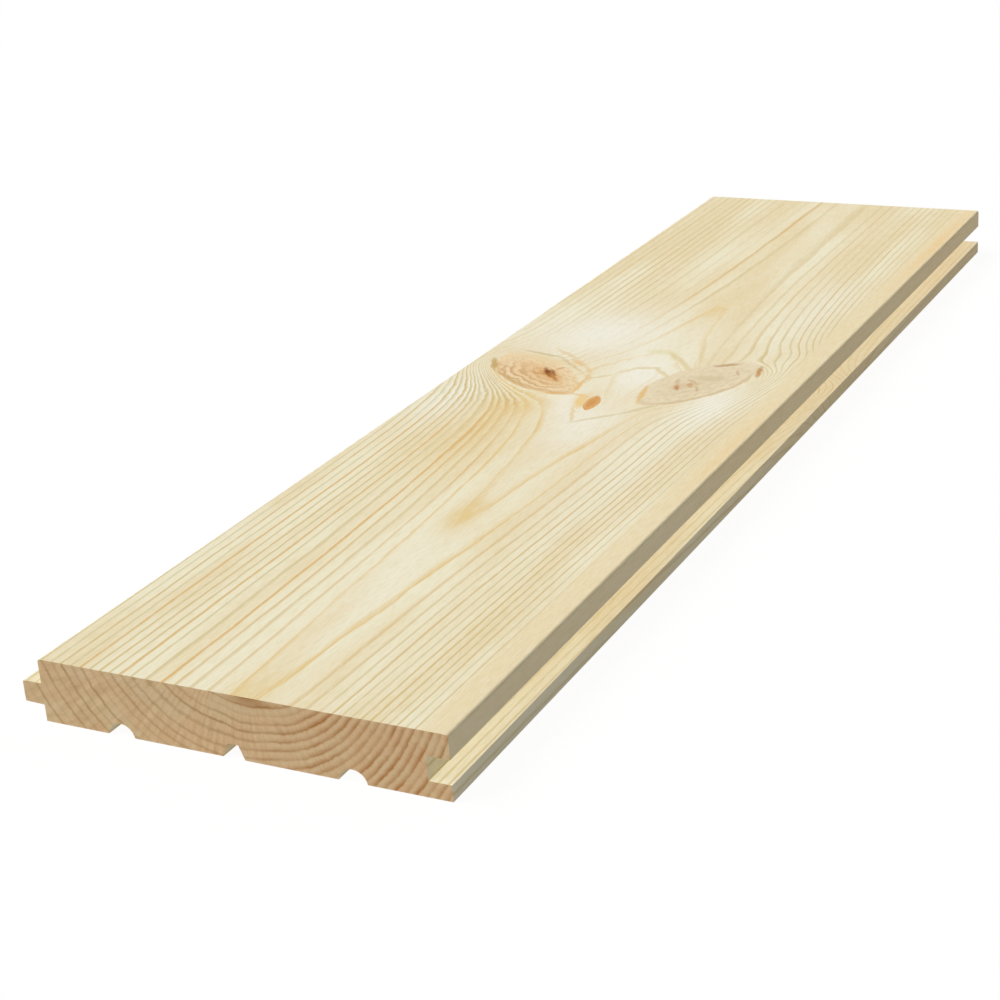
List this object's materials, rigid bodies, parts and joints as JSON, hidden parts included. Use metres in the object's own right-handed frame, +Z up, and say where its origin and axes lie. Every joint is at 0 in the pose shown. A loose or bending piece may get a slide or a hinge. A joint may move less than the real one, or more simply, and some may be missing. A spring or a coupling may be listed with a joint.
{
  "type": "tongue and groove board",
  "caption": "Planed softwood floor board with a tongue along one edge, a matching groove along the other and relief channels along its underside.",
  "frame": {"origin": "middle of the underside of the board, measured over the tongue", "axes": "+Z up out of the face, +Y along the board and the grain, +X across it from the tongue to the groove"},
  "size_m": [0.147, 0.562, 0.021],
  "materials": {
    "pine": "planed softwood, unfinished"
  },
  "bodies": {
    "root": {"board": "pine"}
  },
  "joints": []
}
